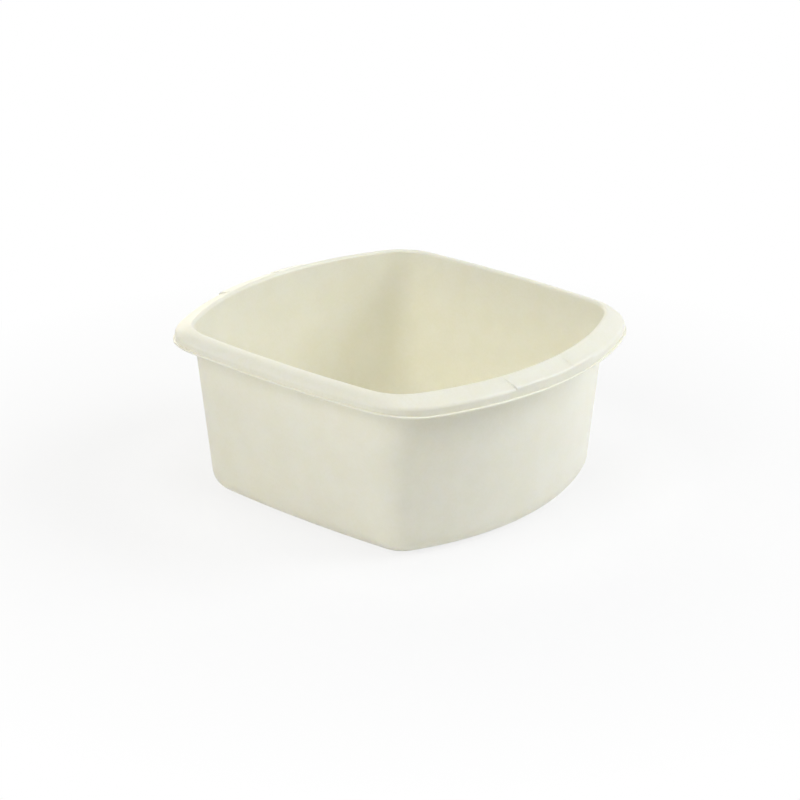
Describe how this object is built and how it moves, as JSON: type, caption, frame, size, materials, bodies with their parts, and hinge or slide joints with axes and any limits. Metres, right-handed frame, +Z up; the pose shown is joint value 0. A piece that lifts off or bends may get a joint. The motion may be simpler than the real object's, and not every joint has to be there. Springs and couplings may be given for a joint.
{
  "type": "washing up bowl",
  "caption": "Nearly square plastic washing up bowl with bowed ends, drafted walls and a turned-down rim with raised grips, for holding water and dishes in a sink.",
  "frame": {"origin": "on the surface that the bowl stands on, under the middle of the bowl", "axes": "+Z up out of the mouth, X along the length through the grips in the middle of the bowed ends, Y across between the straighter sides"},
  "size_m": [0.38, 0.3448, 0.1631],
  "materials": {
    "ivory_polypropylene": "satin injection-moulded polypropylene in ivory"
  },
  "bodies": {
    "root": {"bowl": "ivory_polypropylene"}
  },
  "joints": []
}
